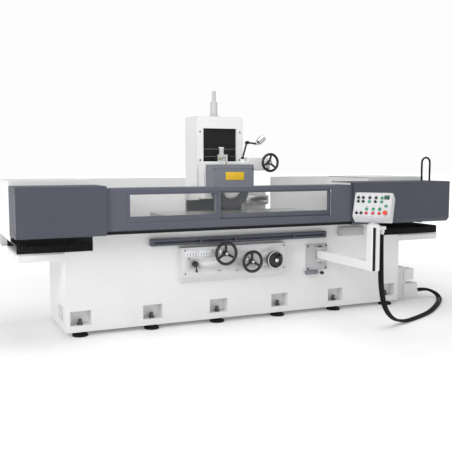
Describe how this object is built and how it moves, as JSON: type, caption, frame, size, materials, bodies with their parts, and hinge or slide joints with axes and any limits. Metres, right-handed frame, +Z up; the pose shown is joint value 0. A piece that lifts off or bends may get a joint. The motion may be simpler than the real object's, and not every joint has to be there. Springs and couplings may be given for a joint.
{
  "type": "surface grinder",
  "caption": "Horizontal-spindle surface grinder: long cast bed, reciprocating table with magnetic chuck under sheet guards, column with wheelhead, and a swing-arm control console.",
  "frame": {"origin": "on the floor, under the centre of the machine's outline", "axes": "+X along the table to the operator's right, +Y from the operator's side to the column, +Z up"},
  "size_m": [4.2969, 2.8495, 2.146],
  "materials": {
    "steel_painted_white": "semi-gloss",
    "steel_painted_slate": "textured satin",
    "steel_painted_grey": "satin",
    "cast_iron_painted": "satin",
    "ground_iron": "ground",
    "bright_steel": "polished",
    "steel_painted_black": "satin",
    "black_plastic": "gloss",
    "black_rubber": "matte",
    "abrasive": "rough",
    "green_plastic": "gloss",
    "red_plastic": "gloss",
    "sash_frame": "satin"
  },
  "bodies": {
    "base": {"bed_casting": "cast_iron_painted", "trip_dog_rail": "steel_painted_slate", "control_panel_box": "steel_painted_white", "guard_left_box": "steel_painted_slate", "guard_right_box": "steel_painted_slate", "guard_mid_panel": "steel_painted_slate", "rear_enclosure_left": "steel_painted_white", "rear_enclosure_right": "steel_painted_white", "column": "cast_iron_painted", "screw_cover": "steel_painted_grey", "electric_box": "steel_painted_white", "arm_bracket": "steel_painted_white", "hose_loop": "black_rubber", "conduit_1": "black_rubber", "conduit_2": "black_rubber", "bellows_left": "black_rubber", "bellows_right": "black_rubber"},
    "table_body": {"table": "ground_iron", "magnetic_chuck": "ground_iron"},
    "sash_left_body": {"sash_left": "sash_frame"},
    "sash_right_body": {"sash_right": "sash_frame"},
    "cover_upper_body": {"column_cover_upper": "steel_painted_black"},
    "carriage_body": {"carriage": "ground_iron", "carriage_cover": "steel_painted_black"},
    "head_body": {"wheelhead": "cast_iron_painted", "wheel_guard": "steel_painted_grey", "coolant_valve": "steel_painted_grey", "feed_gearbox": "steel_painted_white"},
    "spindle_body": {"spindle": "bright_steel", "grinding_wheel": "abrasive"},
    "head_handwheel_body": {"head_handwheel": "black_plastic"},
    "lamp_lower_body": {"lamp_lower_arm": "steel_painted_black"},
    "lamp_upper_body": {"lamp_upper_arm": "steel_painted_black"},
    "lamp_head_body": {"lamp_head": "bright_steel"},
    "table_handwheel_body": {"handwheel_table": "black_plastic"},
    "lift_handwheel_body": {"handwheel_lift": "black_plastic"},
    "cross_dial_body": {"dial_cross": "bright_steel"},
    "lever_body": {"panel_lever": "black_plastic"},
    "arm_body": {"pendant_arm": "steel_painted_white"},
    "console_body": {"pendant_box": "steel_painted_white"},
    "button_black_1_body": {"button_black_1": "black_plastic"},
    "button_black_2_body": {"button_black_2": "black_plastic"},
    "button_black_3_body": {"button_black_3": "black_plastic"},
    "button_black_4_body": {"button_black_4": "black_plastic"},
    "button_green_1_body": {"button_green_1": "green_plastic"},
    "selector_1_body": {"selector_1": "black_plastic"},
    "button_black_5_body": {"button_black_5": "black_plastic"},
    "button_green_2_body": {"button_green_2": "green_plastic"},
    "button_black_6_body": {"button_black_6": "black_plastic"},
    "button_green_3_body": {"button_green_3": "green_plastic"},
    "button_green_4_body": {"button_green_4": "green_plastic"},
    "button_green_5_body": {"button_green_5": "green_plastic"},
    "button_green_6_body": {"button_green_6": "green_plastic"},
    "button_green_7_body": {"button_green_7": "green_plastic"},
    "selector_2_body": {"selector_2": "black_plastic"},
    "selector_3_body": {"selector_3": "black_plastic"},
    "button_red_1_body": {"button_red_1": "red_plastic"},
    "button_red_2_body": {"button_red_2": "red_plastic"},
    "button_red_3_body": {"button_red_3": "red_plastic"},
    "emergency_stop_body": {"emergency_stop": "red_plastic"}
  },
  "joints": [
    {"name": "table_slide", "type": "slide", "parent": "base", "child": "table_body", "axis": [1, 0, 0], "range_m": [-0.8, 0.8], "deforming": ["bellows_left", "bellows_right"]},
    {"name": "sash_left_slide", "type": "slide", "parent": "base", "child": "sash_left_body", "axis": [1, 0, 0], "range_m": [0, 1.084]},
    {"name": "sash_right_slide", "type": "slide", "parent": "base", "child": "sash_right_body", "axis": [1, 0, 0], "range_m": [-0.761, 0]},
    {"name": "head_lift", "type": "slide", "parent": "base", "child": "carriage_body", "axis": [0, 0, 1], "range_m": [-0.008, 0.24]},
    {"name": "cover_follow", "type": "slide", "parent": "base", "child": "cover_upper_body", "axis": [0, 0, 1], "range_m": [-0.004, 0.1]},
    {"name": "head_cross", "type": "slide", "parent": "carriage_body", "child": "head_body", "axis": [0, 1, 0], "range_m": [-0.52, 0]},
    {"name": "spindle_spin", "type": "hinge", "parent": "head_body", "child": "spindle_body", "pos_m": [0.08, -0.4053, 1.155], "axis": [0, 1, 0], "continuous": true},
    {"name": "head_handwheel_turn", "type": "hinge", "parent": "head_body", "child": "head_handwheel_body", "pos_m": [0.53, 0.3147, 1.41], "axis": [0, 1, 0], "continuous": true},
    {"name": "lamp_swivel", "type": "hinge", "parent": "head_body", "child": "lamp_lower_body", "pos_m": [0.29, 0.4547, 1.4453], "axis": [0, 0, 1], "range_deg": [-60, 0]},
    {"name": "lamp_elbow", "type": "hinge", "parent": "lamp_lower_body", "child": "lamp_upper_body", "pos_m": [0.337, 0.4547, 1.612], "axis": [0, 1, 0], "range_deg": [-35, 0]},
    {"name": "lamp_wrist", "type": "hinge", "parent": "lamp_upper_body", "child": "lamp_head_body", "pos_m": [0.433, 0.4344, 1.602], "axis": [0, 1, 0], "range_deg": [-30, 30]},
    {"name": "table_handwheel_turn", "type": "hinge", "parent": "base", "child": "table_handwheel_body", "pos_m": [-0.356, -0.5553, 0.637], "axis": [0, -1, 0], "range_deg": [-11521, 11521]},
    {"name": "lift_handwheel_turn", "type": "hinge", "parent": "base", "child": "lift_handwheel_body", "pos_m": [-0.105, -0.5553, 0.552], "axis": [0, -1, 0], "continuous": true},
    {"name": "cross_dial_turn", "type": "hinge", "parent": "base", "child": "cross_dial_body", "pos_m": [0.128, -0.5553, 0.551], "axis": [0, -1, 0], "continuous": true},
    {"name": "lever_turn", "type": "hinge", "parent": "base", "child": "lever_body", "pos_m": [-0.611, -0.5053, 0.55], "axis": [0, -1, 0], "range_deg": [-45, 45]},
    {"name": "arm_swing", "type": "hinge", "parent": "base", "child": "arm_body", "pos_m": [0.66, -0.4553, 0.523], "axis": [0, 0, 1], "range_deg": [-20, 55], "deforming": ["conduit_1", "conduit_2"]},
    {"name": "console_swivel", "type": "hinge", "parent": "arm_body", "child": "console_body", "pos_m": [0.671, -1.2463, 0.898], "axis": [0, 0, 1], "range_deg": [-40, 40]},
    {"name": "button_black_1_press", "type": "slide", "parent": "console_body", "child": "button_black_1_body", "axis": [0.6562, 0.5908, -0.4695], "range_m": [0, 0.004], "stiffness_N_per_m": 500, "springref_m": -0.002},
    {"name": "button_black_2_press", "type": "slide", "parent": "console_body", "child": "button_black_2_body", "axis": [0.6562, 0.5908, -0.4695], "range_m": [0, 0.004], "stiffness_N_per_m": 500, "springref_m": -0.002},
    {"name": "button_black_3_press", "type": "slide", "parent": "console_body", "child": "button_black_3_body", "axis": [0.6562, 0.5908, -0.4695], "range_m": [0, 0.004], "stiffness_N_per_m": 500, "springref_m": -0.002},
    {"name": "button_black_4_press", "type": "slide", "parent": "console_body", "child": "button_black_4_body", "axis": [0.6562, 0.5908, -0.4695], "range_m": [0, 0.004], "stiffness_N_per_m": 500, "springref_m": -0.002},
    {"name": "button_green_1_press", "type": "slide", "parent": "console_body", "child": "button_green_1_body", "axis": [0.6562, 0.5908, -0.4695], "range_m": [0, 0.004], "stiffness_N_per_m": 500, "springref_m": -0.002},
    {"name": "selector_1_turn", "type": "hinge", "parent": "console_body", "child": "selector_1_body", "pos_m": [0.56433, -1.1805, 1.09287], "axis": [-0.6562, -0.5908, 0.4695], "range_deg": [-45, 45]},
    {"name": "button_black_5_press", "type": "slide", "parent": "console_body", "child": "button_black_5_body", "axis": [0.6562, 0.5908, -0.4695], "range_m": [0, 0.004], "stiffness_N_per_m": 500, "springref_m": -0.002},
    {"name": "button_green_2_press", "type": "slide", "parent": "console_body", "child": "button_green_2_body", "axis": [0.6562, 0.5908, -0.4695], "range_m": [0, 0.004], "stiffness_N_per_m": 500, "springref_m": -0.002},
    {"name": "button_black_6_press", "type": "slide", "parent": "console_body", "child": "button_black_6_body", "axis": [0.6562, 0.5908, -0.4695], "range_m": [0, 0.004], "stiffness_N_per_m": 500, "springref_m": -0.002},
    {"name": "button_green_3_press", "type": "slide", "parent": "console_body", "child": "button_green_3_body", "axis": [0.6562, 0.5908, -0.4695], "range_m": [0, 0.004], "stiffness_N_per_m": 500, "springref_m": -0.002},
    {"name": "button_green_4_press", "type": "slide", "parent": "console_body", "child": "button_green_4_body", "axis": [0.6562, 0.5908, -0.4695], "range_m": [0, 0.004], "stiffness_N_per_m": 500, "springref_m": -0.002},
    {"name": "button_green_5_press", "type": "slide", "parent": "console_body", "child": "button_green_5_body", "axis": [0.6562, 0.5908, -0.4695], "range_m": [0, 0.004], "stiffness_N_per_m": 500, "springref_m": -0.002},
    {"name": "button_green_6_press", "type": "slide", "parent": "console_body", "child": "button_green_6_body", "axis": [0.6562, 0.5908, -0.4695], "range_m": [0, 0.004], "stiffness_N_per_m": 500, "springref_m": -0.002},
    {"name": "button_green_7_press", "type": "slide", "parent": "console_body", "child": "button_green_7_body", "axis": [0.6562, 0.5908, -0.4695], "range_m": [0, 0.004], "stiffness_N_per_m": 500, "springref_m": -0.002},
    {"name": "selector_2_turn", "type": "hinge", "parent": "console_body", "child": "selector_2_body", "pos_m": [0.52577, -1.21117, 1.00037], "axis": [-0.6562, -0.5908, 0.4695], "range_deg": [-45, 45]},
    {"name": "selector_3_turn", "type": "hinge", "parent": "console_body", "child": "selector_3_body", "pos_m": [0.54991, -1.23799, 1.00037], "axis": [-0.6562, -0.5908, 0.4695], "range_deg": [-45, 45]},
    {"name": "button_red_1_press", "type": "slide", "parent": "console_body", "child": "button_red_1_body", "axis": [0.6562, 0.5908, -0.4695], "range_m": [0, 0.004], "stiffness_N_per_m": 500, "springref_m": -0.002},
    {"name": "button_red_2_press", "type": "slide", "parent": "console_body", "child": "button_red_2_body", "axis": [0.6562, 0.5908, -0.4695], "range_m": [0, 0.004], "stiffness_N_per_m": 500, "springref_m": -0.002},
    {"name": "button_red_3_press", "type": "slide", "parent": "console_body", "child": "button_red_3_body", "axis": [0.6562, 0.5908, -0.4695], "range_m": [0, 0.004], "stiffness_N_per_m": 500, "springref_m": -0.002},
    {"name": "emergency_stop_press", "type": "slide", "parent": "console_body", "child": "emergency_stop_body", "axis": [0.6562, 0.5908, -0.4695], "range_m": [0, 0.005], "stiffness_N_per_m": 500, "springref_m": -0.002}
  ],
  "couplings": [
    {"joint": "cover_follow", "follows": "head_lift", "ratio": 0.4},
    {"joint": "table_handwheel_turn", "follows": "table_slide", "rad_per_m": 251.33}
  ]
}
